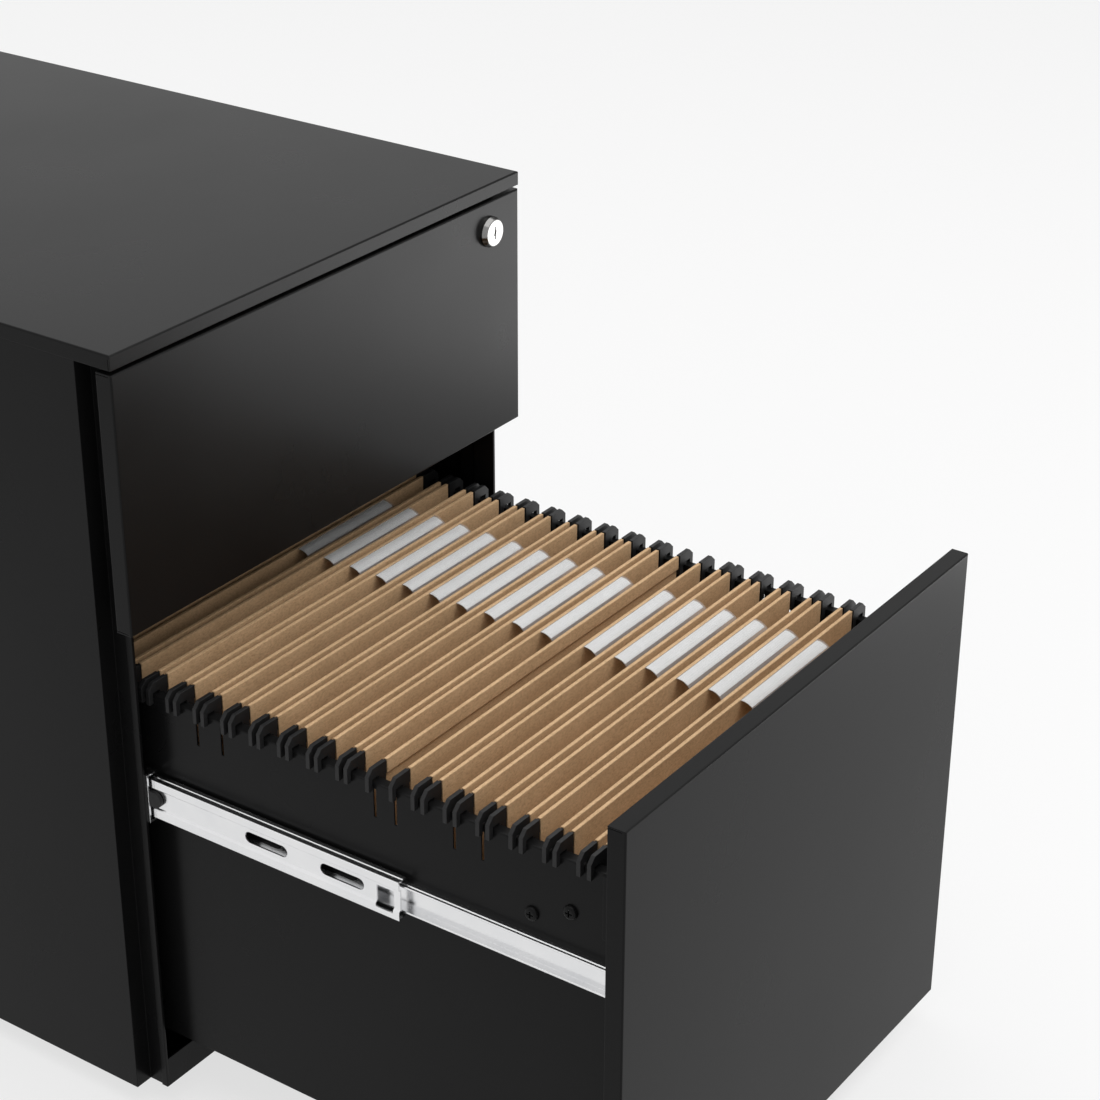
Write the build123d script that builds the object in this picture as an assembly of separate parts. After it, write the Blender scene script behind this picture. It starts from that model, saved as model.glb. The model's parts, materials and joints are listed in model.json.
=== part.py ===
"""Steel filing pedestal: a locked box drawer over a file drawer with hanging folders.

Millimetres, +Z up, front towards -Y, origin on the floor under the middle of the whole part.
The file drawer is modelled pulled out by FILE_OPEN, and the box drawer is modelled closed.
Heights are counted from the floor. Depths "from the front" are counted from a closed front's face.
"""
import math
import os

from build123d import *

# Case
CASE_W = 400.0            # across the side panels, the top and both fronts
CASE_D = 500.0            # face of a closed front to the back edge of the sides
SHEET = 1.0               # steel sheet of the case and the drawers
FOOT_H = 18.0
FOOT_D = 42.0
FOOT_INSET = 48.0         # foot centre from the case's outer faces
FOOT_BEVEL = 3.0
TOP_EDGE = 9.7            # height of the top panel's edge
TOP_GAP = 2.8             # top panel to the box drawer's front
EDGE_R = 1.1              # bend radius round the fronts and the top
SEAM = 0.5                # open seam at the folded corners
RETURN_W = 36.0           # lips folded in behind the fronts and under the top
FLANGE = 15.0             # inward flanges of the side panels
BACK_INSET = 4.0          # back panel's inner face to the back edge of the sides
BACK_SCREW_ROWS = 4
RAIL_DROP = 9.0           # front lip of the top rail
BASE_LIP = 22.0           # front lip of the base rail

# Finger recess down each side
RECESS_INSET = 12.0       # case's outer face to the hem on the recess wall
RECESS_BACK = 29.0        # outer skin's front edge, from the front
HEM_W = 5.0
STILE_CLEAR = 0.9         # closed front to the recess wall's edge

# Fronts
BOX_FRONT_H = 171.5
FRONT_T = 11.9
FRONT_GAP = 3.7
LINER_MARGIN = 14.0       # front's top edge to its liner's top edge
EAR_W = 18.0              # liner's ear over the drawer side
EAR_H = 44.0

# Ball slides
SLIDE_T = 12.0            # recess wall to drawer side
SLIDE_H = 35.0
SLIDE_FRONT = 11.0        # slide's closed front end, from the front
SLIDE_END_SPACE = 39.0    # slide's back end to the back edge of the sides
SLIDE_STEEL = 1.2
OUTER_U = 9.6             # reach of the outer member's flanges, from the recess wall
MIDDLE_H = 27.6
MIDDLE_U = 10.0           # reach of the middle member's flanges
EMBOSS = 1.4              # middle member's web set back from its arms
EMBOSS_H = 8.0            # half height of the set-back web
INNER_H = 18.8
RUN_GAP = 0.4             # between neighbouring members and cages
RACE = 0.5                # depth of the ball grooves
RACE_W = 1.8
MIDDLE_RATIO = 0.554      # middle member's travel for the drawer's travel
BALL_PLAY = 0.3           # ball to raceway
BALLS_PER_ROW = 6
CAGE_STEEL = 0.6
OUTER_CAGE_L = 176.0
OUTER_CAGE_BACK = 120.0   # behind the slide's front end, closed
INNER_CAGE_L = 142.0
INNER_CAGE_BACK = 216.0
SLOT_L = 34.0
SLOT_H = 8.0
SLOT_PITCH = 60.0
SLOT_FIRST = 44.5         # first slot's centre behind the middle member's front end
INNER_SLOT_H = 12.0
INNER_SLOT_FIRST = 214.0  # first slot's centre behind the inner member's front end
WINDOW = (4.7, 17.8)      # window in the middle member, behind its front end
WINDOW_TOP = 5.0
WINDOW_LOW = 10.0
BUMPER_W = 11.0
BUMPER_BACK = 14.0        # bumper's back end, from the front
BUMPER_FRONT = 2.0

# Drawers
FILE_OPEN = 358.0
DRAWER_END_SPACE = 30.0   # drawer back to the back edge of the sides
BOX_LOW = 14.0            # box drawer's bottom above its front's lower edge
BOX_H = 108.0
BOX_SLIDE_UP = 52.0       # box slide's centre above the drawer's bottom
RIM_DROP = 52.8           # file drawer's rim below its front's top edge
RIM_W = 7.0
RIM_LIP = 3.0
FILE_LOW = 31.9           # file drawer's bottom above its front's lower edge
FILE_SLIDE_DROP = 122.8   # file slide's centre below its front's top edge
BACK_DROP = 30.0          # drawer backs below their rims
SLIT_W = 2.0
SLIT_TOP = 4.0            # slit below the rim
SLIT_H = 20.0
SLIT_DEPTHS = (115.0, 135.4, 178.7, 194.1, 314.0, 334.2)    # from the front
SCREW_D = 9.5
SCREW_H = 2.6
SCREW_DOME = 2.1          # rounding of a screw head's rim
CROSS_L = 4.6             # driver recess
CROSS_W = 1.1
CROSS_DEPTH = 1.3
SIDE_SCREWS = ((53.0, 34.7), (80.0, 46.3))                  # from the front, below the rim
GUSSET_L = 80.0
GUSSET_H = 34.0
GUSSET_DROP = 24.0        # gusset's top below the rim

# Lock
LOCK_EDGE = 33.6          # lock axis from the case's right face
LOCK_DROP = 21.2          # lock axis below the front's top edge
LOCK_BASE_D = 21.5        # seat ring, and the wide end of the plug's head
LOCK_FACE_D = 18.5
LOCK_PROUD = 5.2
LOCK_CHAMFER = 0.4
LOCK_RING_T = 1.5
PLUG_D = 16.0
HOUSING_D = 19.0
LOCK_PLAY = 0.3
NUT_AF = 24.0
NUT_T = 3.0
NUT_HOLE_D = 30.0         # way in to the nut from behind
HOUSING_L = 13.0          # housing's back end, from the front
KEYHOLE_H = 9.0
KEYHOLE_W = 1.0
KEYHOLE_STEP = 1.4        # half width of the keyhole's middle
KEYHOLE_DEPTH = 4.0
CAM_T = 2.0
CAM_W = 12.0
CAM_THROW = 12.0          # drive pin from the lock axis, and the lock bar's lift
PIN_D = 4.0
PIN_BACK = 38.0           # drive pin's back end, from the front
BAR_T = 2.0
BAR_W = 12.0
BAR_OFF = 2.0             # lock bar's face from the slide's mounting plane
BAR_BACK = 32.0           # lock bar's front edge, from the front
HEAD_H = 20.0
CATCH_H = 8.0
CATCH_GAP = 3.0           # locked catch to the strike
CATCH_LAP = 3.0           # catch over the strike
STRIKE_OUT = 7.0
STRIKE_L = 8.0
STRIKE_UNDER_RIM = 12.0   # strike's top below its drawer's rim
GUIDE_H = 14.0
GUIDE_PLAY = 0.4
GUIDE_UP = 6.0            # lower guide above the lock bar's end
GUIDE_DROP = 60.0         # upper guide below the box strike
BAR_TAIL = 40.0           # lock bar below the file catch

# Hanging folders
FOLDER_CLEAR = 25.0       # folder's bottom above the drawer's floor
PAPER = 0.6
FOLD_W = 5.0              # flat fold along a folder's bottom
HANGER_T = 1.2
HANGER_H = 9.0
HOOK_T = 2.8
HOOK_LEG = 3.5
HOOK_PLAY = 0.5           # outer leg to the drawer side
HOOK_RISE = 9.0           # hook's top above the rim
HOOK_TIP = 5.4            # outer leg's tip below the rim
HOOK_CHAMFER = 4.2
HOOK_FOOT = 4.5
FOOT_PLAY = 1.0           # hook's inner foot to the rim
ARCH_W = 6.5              # opening in a hook, over the rim
ARCH_H = 2.0
PAPER_GAP = 1.5           # hook to the paper
FOLDER_FIRST = 37.0       # first folder's front hook, from the front
FOLDER_GAP = 16.2         # one folder's back bar to the next folder's front bar
FRONT_SPREAD = 7.2
OPEN_SPREAD = 17.7
BACK_SPREAD = 6.4
FRONT_FOLDERS = 6
FOLDER_END_SPACE = 40.0   # last folder to the drawer's back
TAB_L = 95.0
TAB_EDGE = 45.5           # tab's right end to the folder's edge
TAB_REACH = 10.5
TAB_FALL = 5.4
TAB_T = 0.6
LABEL_T = 0.3
LABEL_MARGIN = 1.0
LABEL_SHORT = 2.6         # label's front edge to its holder's
TAB_BULGE = 1.9           # arch of the tab over its chord
TAB_LIP = 3.0

# Levels and planes worked out from the sizes above
FRONT_Y = (FILE_OPEN - CASE_D) / 2
BACK_Y = FRONT_Y + CASE_D
SIDE_X = CASE_W / 2
SLIDE_X = -SIDE_X + RECESS_INSET + 2 * SHEET
DRAWER_X = SLIDE_X + SLIDE_T
STILE_Y = FRONT_Y + FRONT_T + STILE_CLEAR
SKIN_Y = FRONT_Y + RECESS_BACK
PANEL_Y = BACK_Y - BACK_INSET
FILE_FRONT_H = 2 * BOX_FRONT_H + FRONT_GAP
FILE_FRONT_Z = FOOT_H + FRONT_GAP
FILE_TOP_Z = FILE_FRONT_Z + FILE_FRONT_H
BOX_FRONT_Z = FILE_TOP_Z + FRONT_GAP
BOX_TOP_Z = BOX_FRONT_Z + BOX_FRONT_H
TOP_LOW_Z = BOX_TOP_Z + TOP_GAP
TOP_Z = TOP_LOW_Z + TOP_EDGE
SLIDE_Y = FRONT_Y + SLIDE_FRONT
SLIDE_L = CASE_D - SLIDE_FRONT - SLIDE_END_SPACE
RIM_Z = FILE_TOP_Z - RIM_DROP
FILE_BOX_Z = FILE_FRONT_Z + FILE_LOW
FILE_SLIDE_Z = FILE_TOP_Z - FILE_SLIDE_DROP
BOX_BOX_Z = BOX_FRONT_Z + BOX_LOW
BOX_RIM_Z = BOX_BOX_Z + BOX_H
BOX_SLIDE_Z = BOX_BOX_Z + BOX_SLIDE_UP
LINER_Y = FRONT_Y + FRONT_T
BOX_Y = LINER_Y + SHEET
DRAWER_BACK_Y = BACK_Y - DRAWER_END_SPACE
LOCK_X = SIDE_X - LOCK_EDGE
LOCK_Z = BOX_TOP_Z - LOCK_DROP
ARM_U = SLIDE_STEEL + 2 * RUN_GAP + CAGE_STEEL
WEB_U = ARM_U + EMBOSS
INNER_CAGE_U = WEB_U + SLIDE_STEEL + RUN_GAP
INNER_U = INNER_CAGE_U + CAGE_STEEL + RUN_GAP
BOX_STRIKE_Z = BOX_RIM_Z - STRIKE_UNDER_RIM
FILE_STRIKE_Z = RIM_Z - STRIKE_UNDER_RIM
BAR_LOW_Z = FILE_STRIKE_Z - CAM_THROW - BAR_TAIL
HOOK_X = DRAWER_X - HOOK_PLAY - HOOK_LEG
HANGER_X = DRAWER_X + RIM_W + FOOT_PLAY + HOOK_FOOT
FOLDER_X = HANGER_X + PAPER_GAP
TAB_X = -FOLDER_X - TAB_EDGE - TAB_L
FOLDER_TOP = RIM_Z + HOOK_RISE
FOLDER_H = FOLDER_TOP - FILE_BOX_Z - SHEET - FOLDER_CLEAR

parts = {}


def save(node, *solids):
    """Keep one node: a single solid, or a group of separate solids."""
    parts[node] = [solid for shape in solids for solid in shape.solids()]


def block(x, y, z):
    """Box between three (low, high) pairs."""
    size = [high - low for low, high in (x, y, z)]
    return Pos(x[0], y[0], z[0]) * Box(*size, align=(Align.MIN, Align.MIN, Align.MIN))


def prism(points, length, along):
    """Closed outline through the points, extruded by a length along a direction."""
    return extrude(make_face(Polyline(*points, close=True)), amount=length, dir=along)


def plan_prism(points, z):
    """Outline in plan, extruded between two heights."""
    return prism([(x, y, z[0]) for x, y in points], z[1] - z[0], (0, 0, 1))


def rod_y(x, z, diameter, y):
    """Round rod along Y."""
    return Pos(x, sum(y) / 2, z) * Rot(90, 0, 0) * Cylinder(diameter / 2, y[1] - y[0])


def rod_x(y, z, diameter, x):
    """Round rod along X."""
    return Pos(sum(x) / 2, y, z) * Rot(0, 90, 0) * Cylinder(diameter / 2, x[1] - x[0])


def mirrored(shape):
    """The right-hand twin of a left-hand shape."""
    return mirror(shape, about=Plane.YZ)


def shifted(shape, dy):
    """The shape moved along Y."""
    return Pos(0, dy, 0) * shape


def save_pair(node, left):
    """Keep a left-hand shape and its mirrored twin as two nodes."""
    save(node + "_left", left)
    save(node + "_right", mirrored(left))


def pan(width, height, depth):
    """Folded pan lipped behind two edges: face at y = 0 towards -Y, middle at x = 0, bottom at z = 0."""
    half = width / 2
    inside = (SHEET - half, half - SHEET)
    body = block((-half, half), (0, depth), (0, height))
    body = fillet(body.faces().sort_by(Axis.Y)[0].edges(), EDGE_R)
    body -= block(inside, (SHEET, depth - SHEET), (SHEET, height - SHEET))
    body -= block(inside, (depth - SHEET, depth), (RETURN_W, height - RETURN_W))
    for z in (SHEET, height - SHEET - SEAM):
        for x in (-half, half - SHEET):
            body -= block((x, x + SHEET), (EDGE_R + SHEET, depth), (z, z + SEAM))
    return body


# Case

def side_panel():
    """Left side: outer skin, finger recess with its hem, and inward flanges."""
    skin, wall, hem = -SIDE_X, SLIDE_X - SHEET, SLIDE_X - 2 * SHEET
    hem_y = STILE_Y + HEM_W
    recess = [(skin, SKIN_Y), (wall, SKIN_Y), (wall, hem_y), (hem, hem_y), (hem, STILE_Y)]
    inside = [(SLIDE_X, STILE_Y), (SLIDE_X, SKIN_Y + SHEET), (skin + SHEET, SKIN_Y + SHEET)]
    flange = [(skin + SHEET, PANEL_Y - SHEET), (skin + FLANGE, PANEL_Y - SHEET), (skin + FLANGE, PANEL_Y)]
    rear = [(skin + SHEET, PANEL_Y), (skin + SHEET, BACK_Y), (skin, BACK_Y)]
    outline = recess + inside + flange + rear
    body = plan_prism(outline, (FOOT_H, TOP_LOW_Z))
    flange_x = (skin + SHEET, skin + FLANGE)
    flange_y = (SKIN_Y + SHEET, PANEL_Y - SHEET)
    for z in (FOOT_H + SHEET, TOP_LOW_Z - SHEET):
        body += block(flange_x, flange_y, (z, z + SHEET))
    return body


def top_panel():
    """Top: a pan turned face up."""
    return Pos(0, FRONT_Y, TOP_Z) * Rot(-90, 0, 0) * pan(CASE_W, CASE_D, TOP_EDGE)


def front_rail(z_web, lip):
    """Cross rail between the recess walls: a web and a front lip between two heights."""
    x = (SLIDE_X, -SLIDE_X)
    web = block(x, (STILE_Y + SHEET, SKIN_Y + SHEET), (z_web, z_web + SHEET))
    return web + block(x, (STILE_Y, STILE_Y + SHEET), lip)


def rear_upright():
    """Left Z-shaped upright that carries the back ends of the slides."""
    web_y = SLIDE_Y + SLIDE_L - FLANGE
    skin = SHEET - SIDE_X
    outline = [
        (skin, web_y - FLANGE), (skin + SHEET, web_y - FLANGE), (skin + SHEET, web_y), (SLIDE_X, web_y),
        (SLIDE_X, web_y + FLANGE), (SLIDE_X - SHEET, web_y + FLANGE), (SLIDE_X - SHEET, web_y + SHEET),
        (skin, web_y + SHEET),
    ]
    return plan_prism(outline, (FOOT_H + 2 * SHEET, TOP_LOW_Z - SHEET))


def glide_feet():
    """Four round glides under the base plate, bevelled at the floor."""
    for x in (-SIDE_X + FOOT_INSET, SIDE_X - FOOT_INSET):
        for y in (SKIN_Y + FOOT_INSET, BACK_Y - FOOT_INSET):
            foot = Pos(x, y, FOOT_H / 2) * Cylinder(FOOT_D / 2, FOOT_H)
            yield chamfer(foot.edges().sort_by(Axis.Z)[0], FOOT_BEVEL)


def pan_head(axis, at, direction):
    """Domed screw head standing on a face: along X or Y, from a point, outwards by its sign."""
    dome = Pos(0, 0, SCREW_H / 2) * Cylinder(SCREW_D / 2, SCREW_H)
    dome = fillet(dome.edges().sort_by(Axis.Z)[-1], SCREW_DOME)
    for length, width in ((CROSS_L, CROSS_W), (CROSS_W, CROSS_L)):
        dome -= Pos(0, 0, SCREW_H) * Box(length, width, 2 * CROSS_DEPTH)
    turn = {"x": Rot(0, 90 * direction, 0), "y": Rot(-90 * direction, 0, 0)}[axis]
    return Pos(*at) * turn * dome


def back_screws():
    """Screws through the back panel into the side flanges."""
    x = SIDE_X - FLANGE / 2 - SHEET
    low, high = FOOT_H + 2 * FLANGE, TOP_LOW_Z - 2 * FLANGE
    for row in range(BACK_SCREW_ROWS):
        z = low + row * (high - low) / (BACK_SCREW_ROWS - 1)
        for side in (-x, x):
            yield pan_head("y", (side, PANEL_Y + SHEET, z), 1)


save_pair("side_panel", side_panel())
save("top_panel", top_panel())
between_sides = (SHEET - SIDE_X, SIDE_X - SHEET)
save("back_panel", block(between_sides, (PANEL_Y, PANEL_Y + SHEET), (FOOT_H, TOP_LOW_Z)))
save("base_plate", block(between_sides, (SKIN_Y + SHEET, PANEL_Y - SHEET), (FOOT_H, FOOT_H + SHEET)))
save("top_rail", front_rail(TOP_LOW_Z - SHEET, (BOX_TOP_Z - RAIL_DROP, TOP_LOW_Z)))
save("base_rail", front_rail(FOOT_H, (FOOT_H, FOOT_H + BASE_LIP)))
save_pair("rear_upright", rear_upright())
save("glide_feet", *glide_feet())
save("back_screws", *back_screws())


# Ball slides, drawn for the left side: u from the recess wall towards the drawer, v up from the centre

def section(points, z, y, length):
    """Slide section through (u, v) points, extruded backwards from y."""
    return prism([(SLIDE_X + u, y, z + v) for u, v in points], length, (0, 1, 0))


def both_halves(upper):
    """Outline from its upper half, given from the open side round to the web and back."""
    outside, inside = upper
    lower_outside = [(u, -v) for u, v in reversed(outside)]
    lower_inside = [(u, -v) for u, v in reversed(inside)]
    return outside + lower_outside + list(reversed(inside + lower_inside))


def race(u, v, way):
    """Ball groove in a flange's outer face, met while walking along u."""
    half = way * RACE_W / 2
    return [(u - half, v), (u - half / 2, v - RACE), (u + half / 2, v - RACE), (u + half, v)]


def outer_member(z, y):
    """Channel fixed to the case."""
    v, t = SLIDE_H / 2, SLIDE_STEEL
    outside = [(OUTER_U, v), (0, v)]
    inside = [(OUTER_U, v - t), (t, v - t)]
    return section(both_halves((outside, inside)), z, y, SLIDE_L)


def ball_u(low, high):
    """Middle of a ball row between two reaches."""
    return (low + high) / 2


def slotted(body, x, first, z, height):
    """Member with two round-ended slots through its web."""
    half = (SLOT_L - height) / 2
    for centre in (first, first + SLOT_PITCH):
        body -= block(x, (centre - half, centre + half), (z - height / 2, z + height / 2))
        for end in (centre - half, centre + half):
            body -= rod_x(end, z, height, x)
    return body


def middle_member(z, y):
    """Channel between the other two, with a set-back web, slots and an end window."""
    v, t = MIDDLE_H / 2, SLIDE_STEEL
    web = [(ARM_U, EMBOSS_H), (WEB_U, EMBOSS_H - EMBOSS)]
    outside = [(MIDDLE_U, v), *race(ball_u(ARM_U, MIDDLE_U), v, -1), (ARM_U, v), *web]
    inside = [(MIDDLE_U, v - t), (ARM_U + t, v - t), *[(u + t, rise + t / 2) for u, rise in web]]
    body = section(both_halves((outside, inside)), z, y, SLIDE_L)
    x = (SLIDE_X, SLIDE_X + WEB_U + 2 * t)
    body = slotted(body, x, y + SLOT_FIRST, z, SLOT_H)
    return body - block(x, (y + WINDOW[0], y + WINDOW[1]), (z - WINDOW_LOW, z + WINDOW_TOP))


def inner_member(z, y):
    """Channel fixed to the drawer, open towards the middle member, with slots in its web."""
    v, t = INNER_H / 2, SLIDE_STEEL
    outside = [(INNER_U, v), *race(ball_u(INNER_U, MIDDLE_U), v, 1), (SLIDE_T, v)]
    inside = [(INNER_U, v - t), (SLIDE_T - t, v - t)]
    body = section(both_halves((outside, inside)), z, y, SLIDE_L)
    return slotted(body, (SLIDE_X + INNER_U, SLIDE_X + SLIDE_T + t), y + INNER_SLOT_FIRST, z, INNER_SLOT_H)


def ball_cage(z, y, length, u, reach, v_low, v_high):
    """Bent retainer strip with a row of separate balls above and below."""
    v = (v_low + v_high) / 2
    half = CAGE_STEEL / 2
    ball = v_high - v_low - 2 * BALL_PLAY
    outside = [(reach, v + half), (u, v + half)]
    inside = [(reach, v - half), (u + CAGE_STEEL, v - half)]
    cage = section(both_halves((outside, inside)), z, y, length)
    row_u = SLIDE_X + ball_u(u + CAGE_STEEL, reach)
    pitch = length / BALLS_PER_ROW
    balls = []
    for place in range(BALLS_PER_ROW):
        for side in (-v, v):
            at = Pos(row_u, y + pitch / 2 + place * pitch, z + side)
            cage -= at * Cylinder(ball / 2, 2 * CAGE_STEEL)
            balls.append(at * Sphere(ball / 2))
    return [cage, *balls]


def outer_cage(z, y):
    """Retainer between the outer and middle members."""
    return ball_cage(z, y + OUTER_CAGE_BACK, OUTER_CAGE_L, SLIDE_STEEL + RUN_GAP, OUTER_U - RUN_GAP,
                     MIDDLE_H / 2, SLIDE_H / 2 - SLIDE_STEEL)


def inner_cage(z, y):
    """Retainer between the middle and inner members."""
    return ball_cage(z, y + INNER_CAGE_BACK, INNER_CAGE_L, INNER_CAGE_U, MIDDLE_U - RUN_GAP,
                     INNER_H / 2, MIDDLE_H / 2 - SLIDE_STEEL)


def bumper(z):
    """Plastic stop in the front end of an outer member, rounded in front, in the middle member's hollow."""
    x = (SLIDE_X + SLIDE_STEEL, SLIDE_X + WEB_U - RUN_GAP)
    round_y = FRONT_Y + BUMPER_FRONT + BUMPER_W / 2
    body = block(x, (round_y, FRONT_Y + BUMPER_BACK), (z - BUMPER_W / 2, z + BUMPER_W / 2))
    return body + rod_x(round_y, z, BUMPER_W, x)


def slide_set(drawer, z, opened):
    """All members and cages of one drawer's two slides, with the drawer pulled out by a distance."""
    save_pair(drawer + "_slide_outer", outer_member(z, SLIDE_Y))
    save_pair(drawer + "_slide_middle", middle_member(z, SLIDE_Y - MIDDLE_RATIO * opened))
    save_pair(drawer + "_slide_inner", inner_member(z, SLIDE_Y - opened))
    outer = outer_cage(z, SLIDE_Y - MIDDLE_RATIO / 2 * opened)
    save(drawer + "_outer_cages", *outer, *map(mirrored, outer))
    inner = inner_cage(z, SLIDE_Y - (1 + MIDDLE_RATIO) / 2 * opened)
    save(drawer + "_inner_cages", *inner, *map(mirrored, inner))


slide_set("box", BOX_SLIDE_Z, 0)
slide_set("file", FILE_SLIDE_Z, FILE_OPEN)
left_bumpers = [bumper(BOX_SLIDE_Z), bumper(FILE_SLIDE_Z)]
save("slide_bumpers", *left_bumpers, *map(mirrored, left_bumpers))


# Drawers, drawn closed

def drawer_side(z, rim_z):
    """Left side sheet with an inward rim along its top, bent over and lipped down."""
    y = (BOX_Y, DRAWER_BACK_Y)
    body = block((DRAWER_X, DRAWER_X + SHEET), y, (z, rim_z))
    body += block((DRAWER_X, DRAWER_X + RIM_W), y, (rim_z - SHEET, rim_z))
    body = fillet(body.edges().filter_by(Axis.Y).group_by(Axis.Z)[-1].sort_by(Axis.X)[0], EDGE_R)
    return body + block((DRAWER_X + RIM_W - SHEET, DRAWER_X + RIM_W), y, (rim_z - RIM_LIP, rim_z))


def drawer_bottom(z):
    """Floor sheet between the sides."""
    x = DRAWER_X + SHEET
    return block((x, -x), (BOX_Y, DRAWER_BACK_Y), (z, z + SHEET))


def drawer_back(z, rim_z):
    """Back sheet, lower than the rims."""
    x = DRAWER_X + SHEET
    return block((x, -x), (DRAWER_BACK_Y - SHEET, DRAWER_BACK_Y), (z + SHEET, rim_z - BACK_DROP))


def liner(z, top):
    """Inner plate that closes a front's hollow and carries the drawer."""
    return block((DRAWER_X, -DRAWER_X), (LINER_Y, BOX_Y), (z, top))


def ear():
    """Liner's ear lapped over the left drawer side."""
    return block((DRAWER_X - SHEET, DRAWER_X), (LINER_Y, BOX_Y + EAR_W), (RIM_Z - EAR_H, RIM_Z - SHEET))


def strike(top):
    """Small block on the right drawer side that the lock bar's catch stops."""
    y = FRONT_Y + BAR_BACK + BAR_W + CATCH_GAP
    return block((-DRAWER_X, STRIKE_OUT - DRAWER_X), (y, y + STRIKE_L), (top - CATCH_H, top))


def box_drawer():
    """The closed drawer with the lock."""
    bore = rod_y(LOCK_X, LOCK_Z, HOUSING_D, (FRONT_Y, BOX_Y))
    nut_hole = rod_y(LOCK_X, LOCK_Z, NUT_HOLE_D, (FRONT_Y + SHEET + NUT_T, BOX_Y))
    save("box_front", Pos(0, FRONT_Y, BOX_FRONT_Z) * pan(CASE_W, BOX_FRONT_H, FRONT_T) - bore - nut_hole)
    save("box_liner", liner(BOX_BOX_Z, BOX_TOP_Z - LINER_MARGIN) - nut_hole)
    save_pair("box_side", drawer_side(BOX_BOX_Z, BOX_RIM_Z))
    save("box_bottom", drawer_bottom(BOX_BOX_Z))
    save("box_back", drawer_back(BOX_BOX_Z, BOX_RIM_Z))
    save("box_strike", strike(BOX_STRIKE_Z))


def file_side():
    """Left side of the file drawer, with narrow slits under its rim."""
    body = drawer_side(FILE_BOX_Z, RIM_Z)
    top = RIM_Z - SLIT_TOP
    for depth in SLIT_DEPTHS:
        y = FRONT_Y + depth
        body -= block((DRAWER_X, DRAWER_X + SHEET), (y - SLIT_W / 2, y + SLIT_W / 2), (top - SLIT_H, top))
    return body


def gusset():
    """Corner plate inside the left side, behind the liner."""
    top = RIM_Z - GUSSET_DROP
    x = (DRAWER_X + SHEET, DRAWER_X + 2 * SHEET)
    plate = block(x, (BOX_Y, BOX_Y + GUSSET_L), (top - GUSSET_H, top))
    return plate + block((x[0], x[0] + FLANGE), (BOX_Y, BOX_Y + SHEET), (top - GUSSET_H, top))


def side_screws():
    """Domed screws through the left side into the gusset."""
    for depth, drop in SIDE_SCREWS:
        yield pan_head("x", (DRAWER_X, FRONT_Y + depth - FILE_OPEN, RIM_Z - drop), -1)


def file_drawer():
    """The open drawer without its folders."""
    save("file_front", Pos(0, FRONT_Y - FILE_OPEN, FILE_FRONT_Z) * pan(CASE_W, FILE_FRONT_H, FRONT_T))
    plate = liner(FILE_BOX_Z, FILE_TOP_Z - LINER_MARGIN) + ear() + mirrored(ear())
    save("file_liner", shifted(plate, -FILE_OPEN))
    save_pair("file_side", shifted(file_side(), -FILE_OPEN))
    save("file_bottom", shifted(drawer_bottom(FILE_BOX_Z), -FILE_OPEN))
    save("file_back", shifted(drawer_back(FILE_BOX_Z, RIM_Z), -FILE_OPEN))
    save("file_gussets", shifted(gusset(), -FILE_OPEN), shifted(mirrored(gusset()), -FILE_OPEN))
    screws = list(side_screws())
    save("file_side_screws", *screws, *map(mirrored, screws))
    save("file_strike", shifted(strike(FILE_STRIKE_Z), -FILE_OPEN))


box_drawer()
file_drawer()


# Lock, drawn unlocked with the drive pin below the axis

def lock_housing():
    """Fixed sleeve with a seat ring in front."""
    ring = rod_y(LOCK_X, LOCK_Z, LOCK_BASE_D, (FRONT_Y - LOCK_RING_T, FRONT_Y))
    barrel = rod_y(LOCK_X, LOCK_Z, HOUSING_D, (FRONT_Y, FRONT_Y + HOUSING_L))
    bore_y = (FRONT_Y - LOCK_RING_T, FRONT_Y + HOUSING_L)
    return ring + barrel - rod_y(LOCK_X, LOCK_Z, PLUG_D + 2 * LOCK_PLAY, bore_y)


def lock_nut():
    """Hexagon nut on the sleeve, inside the front."""
    y = FRONT_Y + SHEET
    hexagon = RegularPolygon(NUT_AF / 2, 6, major_radius=False)
    nut = Pos(LOCK_X, y + NUT_T, LOCK_Z) * Rot(90, 0, 0) * extrude(hexagon, NUT_T)
    return nut - rod_y(LOCK_X, LOCK_Z, HOUSING_D, (y, y + NUT_T))


def lock_plug():
    """Turning plug: tapered head with a stepped keyhole, and a barrel."""
    face_y = FRONT_Y - LOCK_PROUD
    seat_y = FRONT_Y - LOCK_RING_T - LOCK_PLAY
    taper = Cone(LOCK_BASE_D / 2, LOCK_FACE_D / 2, seat_y - face_y)
    head = Pos(LOCK_X, (face_y + seat_y) / 2, LOCK_Z) * Rot(90, 0, 0) * taper
    head = chamfer(head.edges().sort_by(Axis.Y)[0], LOCK_CHAMFER)
    barrel = rod_y(LOCK_X, LOCK_Z, PLUG_D, (seat_y, FRONT_Y + HOUSING_L + LOCK_PLAY))
    slot_x = (LOCK_X - KEYHOLE_W / 2, LOCK_X + KEYHOLE_W / 2)
    slot = block(slot_x, (face_y, face_y + KEYHOLE_DEPTH), (LOCK_Z - KEYHOLE_H / 2, LOCK_Z + KEYHOLE_H / 2))
    step = KEYHOLE_STEP
    jog = [(-step, -step), (0, -2 * step), (step, step), (0, 2 * step)]
    wide = prism([(LOCK_X + x, face_y, LOCK_Z + z) for x, z in jog], KEYHOLE_DEPTH, (0, 1, 0))
    return head + barrel - slot - wide


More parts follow.
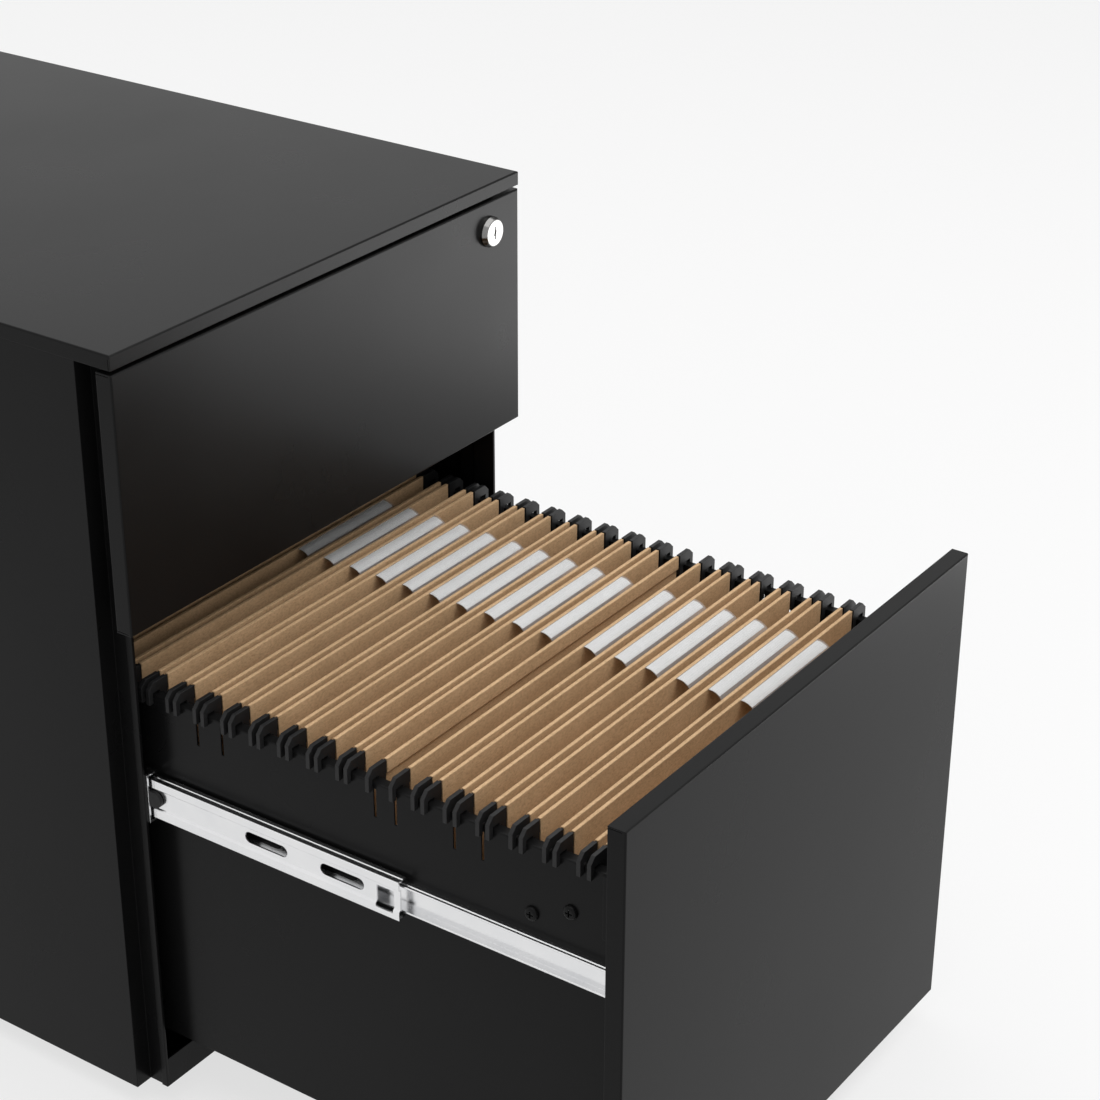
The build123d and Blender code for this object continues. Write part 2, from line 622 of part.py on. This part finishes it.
def lock_cam():
    """Cam plate on the barrel's end, with the drive pin that lifts the lock bar."""
    y = FRONT_Y + HOUSING_L + LOCK_PLAY
    pin_z = LOCK_Z - CAM_THROW
    plate = block((LOCK_X - CAM_W / 2, LOCK_X + CAM_W / 2), (y, y + CAM_T), (pin_z, LOCK_Z))
    for z in (pin_z, LOCK_Z):
        plate += rod_y(LOCK_X, z, CAM_W, (y, y + CAM_T))
    return plate + rod_y(LOCK_X, pin_z, PIN_D, (y + CAM_T, FRONT_Y + PIN_BACK))


def lock_bar():
    """Vertical bar with a slotted head for the pin and a catch for each drawer."""
    x = (BAR_OFF - SLIDE_X, BAR_OFF - SLIDE_X + BAR_T)
    y = FRONT_Y + BAR_BACK
    pin_z = LOCK_Z - CAM_THROW
    catch_tops = [top - CAM_THROW for top in (BOX_STRIKE_Z, FILE_STRIKE_Z)]
    body = block(x, (y, y + BAR_W), (BAR_LOW_Z, pin_z + HEAD_H / 2))
    body += block((LOCK_X - CAM_W, x[1]), (y, y + BAR_T), (pin_z - HEAD_H / 2, pin_z + HEAD_H / 2))
    play = PIN_D / 2 + LOCK_PLAY
    lag = CAM_THROW * (math.sqrt(0.5) - 0.5)
    slot_x = (LOCK_X - play, LOCK_X + CAM_THROW + play)
    body -= block(slot_x, (y, y + BAR_T), (pin_z - play - lag - LOCK_PLAY, pin_z + play))
    inner = STRIKE_OUT - DRAWER_X - CATCH_LAP
    for top in catch_tops:
        body += block((inner, x[0]), (y, y + BAR_W), (top - CATCH_H, top))
    return body


def bar_guide(z):
    """Block on the side panel with a slot that the lock bar runs in."""
    x = (BAR_OFF - SLIDE_X, BAR_OFF - SLIDE_X + BAR_T)
    y = FRONT_Y + BAR_BACK
    heights = (z, z + GUIDE_H)
    body = block((x[0] - GUIDE_PLAY - SHEET, SIDE_X - SHEET), (SKIN_Y + SHEET, y + 2 * BAR_W), heights)
    slot_y = (y - GUIDE_PLAY, y + BAR_W + GUIDE_PLAY)
    return body - block((x[0] - GUIDE_PLAY, x[1] + GUIDE_PLAY), slot_y, heights)


save("lock_housing", lock_housing())
save("lock_nut", lock_nut())
save("lock_plug", lock_plug())
save("lock_cam", lock_cam())
save("lock_bar", lock_bar())
save("lock_bar_guides", bar_guide(BOX_STRIKE_Z - GUIDE_DROP), bar_guide(BAR_LOW_Z + GUIDE_UP))


# Hanging folders on the open file drawer's rims

def folder_places():
    """Front bar's place and spread of each folder, from the front of the drawer backwards."""
    y = FRONT_Y - FILE_OPEN + FOLDER_FIRST + HOOK_T / 2
    last = DRAWER_BACK_Y - FILE_OPEN - FOLDER_END_SPACE
    spreads = [FRONT_SPREAD] * FRONT_FOLDERS + [OPEN_SPREAD]
    while y + BACK_SPREAD < last:
        spread = spreads.pop(0) if spreads else BACK_SPREAD
        yield y, spread
        y += spread + FOLDER_GAP


def sleeve(y, spread):
    """Folded paper pocket: a channel round each hanger bar, two walls and a flat fold."""
    near, far, channel = HANGER_T / 2, HANGER_T / 2 + PAPER, HANGER_H + PAPER
    half, fold = spread / 2, FOLD_W / 2
    turned_in = [(far - half, 0), (far - half, -channel), (near - half, -channel), (near - half, -PAPER)]
    wall = [(-near - half, -PAPER), (-near - half, -channel), (PAPER - fold, PAPER - FOLDER_H)]
    front = turned_in + wall
    back = [(-run, drop) for run, drop in reversed(front)]
    outside = [(half + far, 0), (fold, -FOLDER_H), (-fold, -FOLDER_H), (-half - far, 0)]
    outline = [(FOLDER_X, y + half + run, FOLDER_TOP + drop) for run, drop in front + back + outside]
    return prism(outline, -2 * FOLDER_X, (1, 0, 0))


def hanger_bar(y):
    """Flat bar inside a sleeve's channel."""
    z = FOLDER_TOP - PAPER
    return block((HANGER_X, -HANGER_X), (y - HANGER_T / 2, y + HANGER_T / 2), (z - HANGER_H, z))


def hook(y):
    """Moulded left end of a hanger bar, standing astride the rim with an opening over it."""
    low, top = RIM_Z - HOOK_TIP, RIM_Z + HOOK_RISE
    foot, leg = HANGER_X - HOOK_FOOT, HOOK_X + HOOK_LEG
    outer = [(HOOK_X, low), (HOOK_X, top - HOOK_CHAMFER), (HOOK_X + HOOK_CHAMFER, top), (HANGER_X, top)]
    rest, arch = leg + ARCH_W, RIM_Z + ARCH_H
    inner = [(HANGER_X, low), (foot, low), (foot, RIM_Z)]
    over_rim = [(rest, RIM_Z), (rest, arch), (leg, arch), (leg, low)]
    return prism([(x, y - HOOK_T / 2, z) for x, z in outer + inner + over_rim], HOOK_T, (0, 1, 0))


def tab_arc(y, gap, thickness, margin):
    """Arched strip in front of a sleeve's front wall, falling towards the drawer's front."""
    start = Vector(TAB_X + margin, y, FOLDER_TOP - gap)
    end = start + Vector(0, -TAB_REACH, -TAB_FALL)
    middle = (start + end) * 0.5
    crown = Vector(TAB_X + margin, middle.Y, middle.Z + TAB_BULGE)
    drop = Vector(0, 0, -thickness)
    upper = ThreePointArc(start, crown, end)
    lower = ThreePointArc(end + drop, crown + drop, start + drop)
    outline = [upper, Line(end, end + drop), lower, Line(start + drop, start)]
    return extrude(make_face(outline), amount=TAB_L - 2 * margin, dir=(1, 0, 0))


def tab_holder(y):
    """Clear arched holder with a lip along its lower edge."""
    lip_y = y - TAB_REACH
    lip_z = FOLDER_TOP - TAB_FALL
    lip = block((TAB_X, TAB_X + TAB_L), (lip_y - TAB_T, lip_y), (lip_z - TAB_LIP, lip_z))
    return tab_arc(y, 0, TAB_T, 0) + lip


def tab_label(y):
    """Blank card under a holder, short of the holder's front edge."""
    edge = y - TAB_REACH
    cut = block((TAB_X, TAB_X + TAB_L), (edge - TAB_REACH, edge + LABEL_SHORT), (RIM_Z - TAB_REACH, FOLDER_TOP))
    return tab_arc(y, TAB_T, LABEL_T, LABEL_MARGIN) - cut


def folders():
    """All sleeves, bars, hooks and tabs."""
    places = list(folder_places())
    sleeves = [sleeve(*place) for place in places]
    behind = sleeves[FRONT_FOLDERS + 1:]
    half = len(behind) // 2
    save("folders_front", *sleeves[:FRONT_FOLDERS])
    save("folder_open", sleeves[FRONT_FOLDERS])
    save("folders_middle", *behind[:half])
    save("folders_back", *behind[half:])
    bars = [bar for y, spread in places for bar in (y, y + spread)]
    save("hanger_bars", *map(hanger_bar, bars))
    hooks = [hook(y) for y in bars]
    save("hanger_hooks", *hooks, *map(mirrored, hooks))
    faces = [y - HANGER_T / 2 - PAPER for y, spread in places]
    save("tab_holders", *map(tab_holder, faces))
    save("tab_labels", *map(tab_label, faces))


folders()

os.makedirs("parts", exist_ok=True)
for node, solids in parts.items():
    shape = solids[0] if len(solids) == 1 else Compound(children=solids)
    export_step(shape, f"parts/{node}.step")
print(len(parts), "nodes")
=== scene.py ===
"""Studio look for the filing pedestal: materials, floor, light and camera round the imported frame."""
import json
import math
from collections import namedtuple

import bpy
from mathutils import Matrix, Vector


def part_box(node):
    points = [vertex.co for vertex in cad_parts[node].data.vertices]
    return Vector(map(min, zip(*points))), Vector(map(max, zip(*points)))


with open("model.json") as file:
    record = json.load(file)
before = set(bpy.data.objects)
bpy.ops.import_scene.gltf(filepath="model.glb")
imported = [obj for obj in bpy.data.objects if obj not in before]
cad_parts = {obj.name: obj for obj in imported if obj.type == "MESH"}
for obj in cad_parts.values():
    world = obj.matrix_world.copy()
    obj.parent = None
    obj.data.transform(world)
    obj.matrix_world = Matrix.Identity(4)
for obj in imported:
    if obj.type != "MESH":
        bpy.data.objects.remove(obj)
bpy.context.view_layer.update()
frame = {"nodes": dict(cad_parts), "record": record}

nodes = frame["nodes"]
scene = bpy.context.scene

MM = 0.001

# Camera, measured from the photograph: place in metres, lens and sensor in millimetres
CAMERA_AT = Vector((-1.1725, -1.0610, 1.1306))
CAMERA_YAW = math.radians(54.96)
CAMERA_PITCH = math.radians(27.09)
CAMERA_ROLL = math.radians(0.135)
CAMERA_LENS = 84.62
CAMERA_SENSOR = 36.0
CAMERA_NEAR = 0.05
CAMERA_FAR = 60.0

# Floor and sky, where 1 is white
WHITE = (1.0, 1.0, 1.0, 1.0)
FLOOR_SIZE = 40.0
FLOOR_TONE = (0.80, 0.80, 0.80, 1.0)
FLOOR_ROUGHNESS = 0.7
FLOOR_WHITE = 1.0
FLOOR_WHITE_SHARE = 0.70
SKY_LIGHT = 0.58
SKY_SEEN = 0.93
SKY_SEEN_SHARE = 1.0

# Lamps: places and sizes in metres, power in watts; the reflectors lie on the floor and face up
Lamp = namedtuple("Lamp", "at aim size power")
LAMPS = {
    "key": Lamp(at=(1.0, -1.7, 2.6), aim=(0, -0.2, 0.3), size=(1.4, 1.4), power=17.0),
    "overhead": Lamp(at=(0.2, -0.4, 3.2), aim=(0.2, -0.4, 0.0), size=(4.0, 4.0), power=62.0),
    "reflector": Lamp(at=(1.40, -0.95, 0.02), aim=(1.40, -0.95, 1.0), size=(1.0, 0.85), power=13.5),
    "reflector_near": Lamp(at=(0.78, -1.15, 0.02), aim=(0.78, -1.15, 1.0), size=(0.26, 0.5), power=2.1),
}

# Tones: the darker and the lighter colour of each material
COAT_TONES = ((0.0056, 0.0056, 0.0057), (0.0070, 0.0070, 0.0071))
ZINC_TONES = ((0.77, 0.775, 0.785), (0.82, 0.82, 0.825))
NICKEL_TONES = ((0.34, 0.336, 0.329), (0.385, 0.381, 0.373))
PLUG_TONES = ((0.215, 0.212, 0.208), (0.240, 0.237, 0.232))
# Painted shade: darker tones painted inside the lock plug's keyway
KEYWAY_SHADE_TONES = ((0.030, 0.028, 0.026), (0.060, 0.056, 0.052))
PLASTIC_TONES = ((0.010, 0.010, 0.0103), (0.015, 0.015, 0.0154))
KRAFT_TONES = ((0.575, 0.382, 0.212), (0.645, 0.434, 0.247))
CARD_TONES = ((0.79, 0.79, 0.78), (0.82, 0.82, 0.815))
CLEAR_TONE = (0.56, 0.56, 0.565, 1.0)

# Kraft board's fibres and specks multiply its tone
UNCHANGED = (1.0, 1.0, 1.0)
FIBRE_DARK = (0.80, 0.77, 0.74)
FIBRE_LIGHT = (1.10, 1.10, 1.12)
SPECK_DARK = (0.78, 0.73, 0.68)
SPECK_LIGHT = (1.20, 1.20, 1.20)

# Keyway in the lock plug: painted shade within this radius and below this depth, each from none to full
KEYWAY_EDGE = (5.5 * MM, 6.0 * MM)
KEYWAY_DEPTH = (0.1 * MM, 0.6 * MM)

# Part of a noise factor's span that most of its values lie in
NOISE_RANGE = (0.3, 0.7)

BEVEL_SAMPLES = 6

# Colour sockets of a mix node, whose names other sockets share
MIX_FACTOR, MIX_FIRST, MIX_SECOND, MIX_RESULT = 0, 6, 7, 2

Relief = namedtuple("Relief", "height strength depth")


def make_camera():
    """Camera at the photograph's place: yaw from +Y towards +X, pitch down, slight roll."""
    flat = math.cos(CAMERA_PITCH)
    ahead = Vector((math.sin(CAMERA_YAW) * flat, math.cos(CAMERA_YAW) * flat, -math.sin(CAMERA_PITCH)))
    right = Vector((math.cos(CAMERA_YAW), -math.sin(CAMERA_YAW), 0))
    up = right.cross(ahead)
    rolled_right = math.cos(CAMERA_ROLL) * right + math.sin(CAMERA_ROLL) * up
    rolled_up = math.cos(CAMERA_ROLL) * up - math.sin(CAMERA_ROLL) * right
    data = bpy.data.cameras.new("camera")
    data.lens = CAMERA_LENS
    data.sensor_width = CAMERA_SENSOR
    data.clip_start = CAMERA_NEAR
    data.clip_end = CAMERA_FAR
    camera = bpy.data.objects.new("camera", data)
    axes = Matrix((rolled_right, rolled_up, -ahead)).transposed().to_4x4()
    camera.matrix_world = Matrix.Translation(CAMERA_AT) @ axes
    scene.collection.objects.link(camera)
    scene.camera = camera


class Shader:
    """Small helper round one material's node tree."""

    def __init__(self, name):
        self.material = bpy.data.materials.new(name)
        self.material.use_nodes = True
        self.tree = self.material.node_tree
        self.bsdf = self.tree.nodes["Principled BSDF"]

    def add(self, kind, **values):
        """New node, with properties or input sockets set by name."""
        node = self.tree.nodes.new(kind)
        for key, value in values.items():
            is_socket = isinstance(value, bpy.types.NodeSocket)
            if hasattr(node, key) and not is_socket:
                setattr(node, key, value)
                continue
            name = key.replace("_", " ")
            socket = next(s for s in node.inputs if s.name.lower() == name)
            if is_socket:
                self.tree.links.new(value, socket)
            else:
                socket.default_value = value
        return node

    def link(self, out, socket_name):
        """Feed an input of the main shader."""
        self.tree.links.new(out, self.bsdf.inputs[socket_name])

    def set(self, **values):
        """Uniform values on the main shader's own sockets."""
        for key, value in values.items():
            name = key.replace("_", " ")
            next(s for s in self.bsdf.inputs if s.name.lower() == name).default_value = value

    def place(self, stretch=(1, 1, 1)):
        """Object coordinates, stretched per axis."""
        where = self.add("ShaderNodeTexCoord")
        mapping = self.add("ShaderNodeMapping", vector=where.outputs["Object"])
        mapping.inputs["Scale"].default_value = stretch
        return mapping.outputs["Vector"]

    def noise(self, at, cells, detail=3.0, rough=0.55):
        """Noise factor with so many cells to the metre."""
        node = self.add("ShaderNodeTexNoise", vector=at, scale=cells, detail=detail, roughness=rough)
        return node.outputs["Fac"]

    def ramp(self, factor, stops):
        """Colours along a factor: (position, colour) stops."""
        node = self.add("ShaderNodeValToRGB", fac=factor)
        elements = node.color_ramp.elements
        while len(elements) < len(stops):
            elements.new(0.5)
        for element, (position, colour) in zip(elements, stops):
            element.position = position
            element.color = (*colour, 1.0)
        return node.outputs["Color"]

    def tones(self, noise, pair):
        """Colour between two tones along a noise factor."""
        return self.ramp(noise, list(zip(NOISE_RANGE, pair)))

    def span(self, factor, low, high, source=NOISE_RANGE):
        """Factor rescaled to a range."""
        node = self.add("ShaderNodeMapRange", value=factor)
        node.inputs["From Min"].default_value, node.inputs["From Max"].default_value = source
        node.inputs["To Min"].default_value, node.inputs["To Max"].default_value = low, high
        return node.outputs["Result"]

    def times(self, first, second):
        """Product of two factors."""
        node = self.add("ShaderNodeMath", operation="MULTIPLY")
        self.tree.links.new(first, node.inputs[0])
        self.tree.links.new(second, node.inputs[1])
        return node.outputs[0]

    def mix(self, first, second, factor):
        """Colour from the first to the second by a factor."""
        node = self.add("ShaderNodeMix", data_type="RGBA")
        self.tree.links.new(factor, node.inputs[MIX_FACTOR])
        self.tree.links.new(first, node.inputs[MIX_FIRST])
        self.tree.links.new(second, node.inputs[MIX_SECOND])
        return node.outputs[MIX_RESULT]

    def tint(self, first, second):
        """Product of two colours."""
        node = self.add("ShaderNodeMix", data_type="RGBA", blend_type="MULTIPLY")
        node.inputs[MIX_FACTOR].default_value = 1.0
        self.tree.links.new(first, node.inputs[MIX_FIRST])
        self.tree.links.new(second, node.inputs[MIX_SECOND])
        return node.outputs[MIX_RESULT]

    def rounded(self, radius):
        """Normals turned as on a rounded edge."""
        return self.add("ShaderNodeBevel", samples=BEVEL_SAMPLES, radius=radius).outputs["Normal"]

    def bump(self, *reliefs, over=None):
        """Chain of reliefs into the normal."""
        normal = over
        for height, strength, depth in reliefs:
            node = self.add("ShaderNodeBump", height=height, strength=strength, distance=depth)
            if normal is not None:
                self.tree.links.new(normal, node.inputs["Normal"])
            normal = node.outputs["Normal"]
        self.link(normal, "Normal")


def powder_coat():
    """Satin black powder coat: even, with a fine orange peel and slight cloudiness in the gloss."""
    s = Shader("powder_coat")
    at = s.place()
    cloud = s.noise(at, cells=7.0, detail=4.0)
    grain = s.noise(at, cells=900.0, detail=2.0)
    peel = s.noise(at, cells=330.0, detail=2.0)
    s.link(s.tones(cloud, COAT_TONES), "Base Color")
    s.link(s.span(cloud, low=0.26, high=0.31), "Roughness")
    s.set(specular_ior_level=0.095)
    s.bump(
        Relief(peel, strength=0.06, depth=0.12 * MM),
        Relief(grain, strength=0.05, depth=0.06 * MM),
        over=s.rounded(radius=0.6 * MM),
    )
    return s.material


def zinc():
    """Bright zinc on rolled strip: long faint streaks along the slide."""
    s = Shader("zinc")
    streak = s.noise(s.place(stretch=(1.0, 0.012, 1.0)), cells=900.0)
    bloom = s.noise(s.place(), cells=30.0)
    s.link(s.tones(bloom, ZINC_TONES), "Base Color")
    s.link(s.span(streak, low=0.19, high=0.24), "Roughness")
    s.set(metallic=1.0)
    s.bump(Relief(streak, strength=0.03, depth=0.03 * MM), over=s.rounded(radius=0.3 * MM))
    return s.material


def nickel(name, pair):
    """Shader of polished nickel with fine turning marks, between two tones."""
    s = Shader(name)
    at = s.place()
    fine = s.noise(at, cells=1800.0)
    broad = s.noise(at, cells=120.0, detail=2.0)
    s.link(s.tones(broad, pair), "Base Color")
    s.link(s.span(fine, low=0.14, high=0.24), "Roughness")
    s.set(metallic=1.0)
    s.bump(Relief(fine, strength=0.06, depth=0.03 * MM))
    return s


def keyed_nickel():
    """Nickel for the lock plug, with painted shade inside its keyway."""
    s = nickel("keyed_nickel", PLUG_TONES)
    bright = s.bsdf.inputs["Base Color"].links[0].from_socket
    low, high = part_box("lock_plug")
    where = s.add("ShaderNodeTexCoord").outputs["Object"]
    split = s.add("ShaderNodeSeparateXYZ", vector=where)
    from_axis = s.add("ShaderNodeMapping", vector_type="POINT", vector=where)
    from_axis.inputs["Location"].default_value = (-(low[0] + high[0]) / 2, 0, -(low[2] + high[2]) / 2)
    from_axis.inputs["Scale"].default_value = (1, 0, 1)
    radius = s.add("ShaderNodeVectorMath", operation="LENGTH")
    s.tree.links.new(from_axis.outputs["Vector"], radius.inputs[0])
    inside = s.span(radius.outputs["Value"], 1.0, 0.0, source=KEYWAY_EDGE)
    behind_face = [low[1] + depth for depth in KEYWAY_DEPTH]
    below = s.span(split.outputs["Y"], 0.0, 1.0, source=behind_face)
    # Painted shade: the keyway's inside is darkened in the base colour
    keyway_shade = s.tones(s.noise(where, cells=900.0), KEYWAY_SHADE_TONES)
    s.link(s.mix(bright, keyway_shade, factor=s.times(inside, below)), "Base Color")
    return s.material


def moulded():
    """Matte black moulded plastic with a fine spark-eroded grain."""
    s = Shader("moulded_plastic")
    at = s.place()
    grain = s.noise(at, cells=2600.0)
    tone = s.noise(at, cells=140.0)
    s.link(s.tones(tone, PLASTIC_TONES), "Base Color")
    s.link(s.span(grain, low=0.42, high=0.55), "Roughness")
    s.set(specular_ior_level=0.25)
    s.bump(Relief(grain, strength=0.12, depth=0.05 * MM), over=s.rounded(radius=0.5 * MM))
    return s.material


def kraft():
    """Kraft board: fibres along the folder, specks and a slightly mottled tone."""
    s = Shader("kraft_board")
    at = s.place()
    fibres = s.noise(s.place(stretch=(0.40, 1.0, 1.0)), cells=1000.0, rough=0.6)
    specks = s.noise(at, cells=900.0, detail=2.0, rough=0.5)
    mottle = s.noise(at, cells=38.0, detail=4.0)
    tone = s.tones(mottle, KRAFT_TONES)
    fibre = s.ramp(fibres, [(0.30, FIBRE_DARK), (0.55, UNCHANGED), (0.75, FIBRE_LIGHT)])
    speck = s.ramp(specks, [(0.28, SPECK_DARK), (0.40, UNCHANGED), (0.66, UNCHANGED), (0.78, SPECK_LIGHT)])
    s.link(s.tint(s.tint(tone, fibre), speck), "Base Color")
    s.link(s.span(fibres, low=0.72, high=0.9), "Roughness")
    s.set(specular_ior_level=0.25)
    s.bump(
        Relief(fibres, strength=0.25, depth=0.10 * MM),
        Relief(specks, strength=0.20, depth=0.10 * MM),
        over=s.rounded(radius=1.1 * MM),
    )
    return s.material


def clear():
    """Thin clear moulded strip: lets most light through, and all of it on faces that look down at a label."""
    s = Shader("clear_plastic")
    at = s.place()
    wave = s.noise(at, cells=60.0, detail=2.0)
    fine = s.noise(at, cells=900.0, detail=2.0)
    s.set(base_color=CLEAR_TONE, specular_ior_level=0.15)
    surface = s.add("ShaderNodeNewGeometry")
    split = s.add("ShaderNodeSeparateXYZ", vector=surface.outputs["True Normal"])
    outward = s.span(surface.outputs["Backfacing"], 1.0, -1.0, source=(0.0, 1.0))
    upward = s.span(s.times(split.outputs["Z"], outward), 0.0, 1.0, source=(-0.3, 0.0))
    s.link(s.times(s.span(wave, low=0.29, high=0.33), upward), "Alpha")
    s.link(s.span(fine, low=0.30, high=0.34), "Roughness")
    return s.material


def label_paper():
    """Blank white card."""
    s = Shader("label_paper")
    at = s.place()
    fine = s.noise(at, cells=1600.0)
    soft = s.noise(at, cells=50.0)
    s.link(s.tones(soft, CARD_TONES), "Base Color")
    s.link(s.span(fine, low=0.65, high=0.8), "Roughness")
    s.set(specular_ior_level=0.3)
    s.bump(Relief(fine, strength=0.05, depth=0.02 * MM))
    return s.material


def dress():
    """Give every node its material."""
    looks = {
        "black_steel": powder_coat(),
        "zinc_steel": zinc(),
        "nickel": nickel("nickel", NICKEL_TONES).material,
        "black_plastic": moulded(),
        "kraft": kraft(),
        "clear_plastic": clear(),
        "white_paper": label_paper(),
        "hanger_steel": moulded(),
    }
    for entry in frame["record"]["subparts"]:
        obj = nodes[entry["node"]]
        obj.data.materials.clear()
        obj.data.materials.append(looks[entry["material_slot"]])
    nodes["lock_plug"].data.materials[0] = keyed_nickel()


def backdrop_white(tree, shade, glow, share):
    """White to the camera, in reflections and through clear parts, over a shader that takes light."""
    path = tree.nodes.new("ShaderNodeLightPath")
    seen = path.outputs["Is Camera Ray"]
    for ray in ("Is Glossy Ray", "Is Transmission Ray"):
        either = tree.nodes.new("ShaderNodeMath")
        either.operation = "MAXIMUM"
        tree.links.new(seen, either.inputs[0])
        tree.links.new(path.outputs[ray], either.inputs[1])
        seen = either.outputs[0]
    part = tree.nodes.new("ShaderNodeMath")
    part.operation = "MULTIPLY"
    part.inputs[1].default_value = share
    tree.links.new(seen, part.inputs[0])
    mix = tree.nodes.new("ShaderNodeMixShader")
    tree.links.new(part.outputs[0], mix.inputs[0])
    tree.links.new(shade.outputs[0], mix.inputs[1])
    tree.links.new(glow.outputs[0], mix.inputs[2])
    return mix.outputs[0]


def make_floor():
    """Plain pale floor."""
    bpy.ops.mesh.primitive_plane_add(size=FLOOR_SIZE, location=(0, 0, 0))
    floor = bpy.context.object
    floor.name = "floor"
    s = Shader("floor")
    s.set(base_color=FLOOR_TONE, roughness=FLOOR_ROUGHNESS)
    glow = s.add("ShaderNodeEmission", strength=FLOOR_WHITE)
    white = backdrop_white(s.tree, s.bsdf, glow, FLOOR_WHITE_SHARE)
    s.tree.links.new(white, s.tree.nodes["Material Output"].inputs["Surface"])
    floor.data.materials.append(s.material)


def make_sky():
    """Even white world, dimmer as a light than as a backdrop."""
    world = bpy.data.worlds.new("studio")
    scene.world = world
    world.use_nodes = True
    tree = world.node_tree
    light = tree.nodes["Background"]
    backdrop = tree.nodes.new("ShaderNodeBackground")
    for sky, strength in ((light, SKY_LIGHT), (backdrop, SKY_SEEN)):
        sky.inputs["Color"].default_value = WHITE
        sky.inputs["Strength"].default_value = strength
    white = backdrop_white(tree, light, backdrop, SKY_SEEN_SHARE)
    tree.links.new(white, tree.nodes["World Output"].inputs["Surface"])


def make_lamps():
    """Soft rectangular lamps, each aimed at a point."""
    for name, lamp in LAMPS.items():
        data = bpy.data.lights.new(name, "AREA")
        data.shape = "RECTANGLE"
        data.size, data.size_y = lamp.size
        data.energy = lamp.power
        obj = bpy.data.objects.new(name, data)
        obj.location = lamp.at
        obj.visible_camera = False
        obj.rotation_euler = (Vector(lamp.aim) - Vector(lamp.at)).to_track_quat("-Z", "Y").to_euler()
        scene.collection.objects.link(obj)


make_camera()
dress()
make_floor()
make_sky()
make_lamps()
scene.view_settings.view_transform = "Standard"
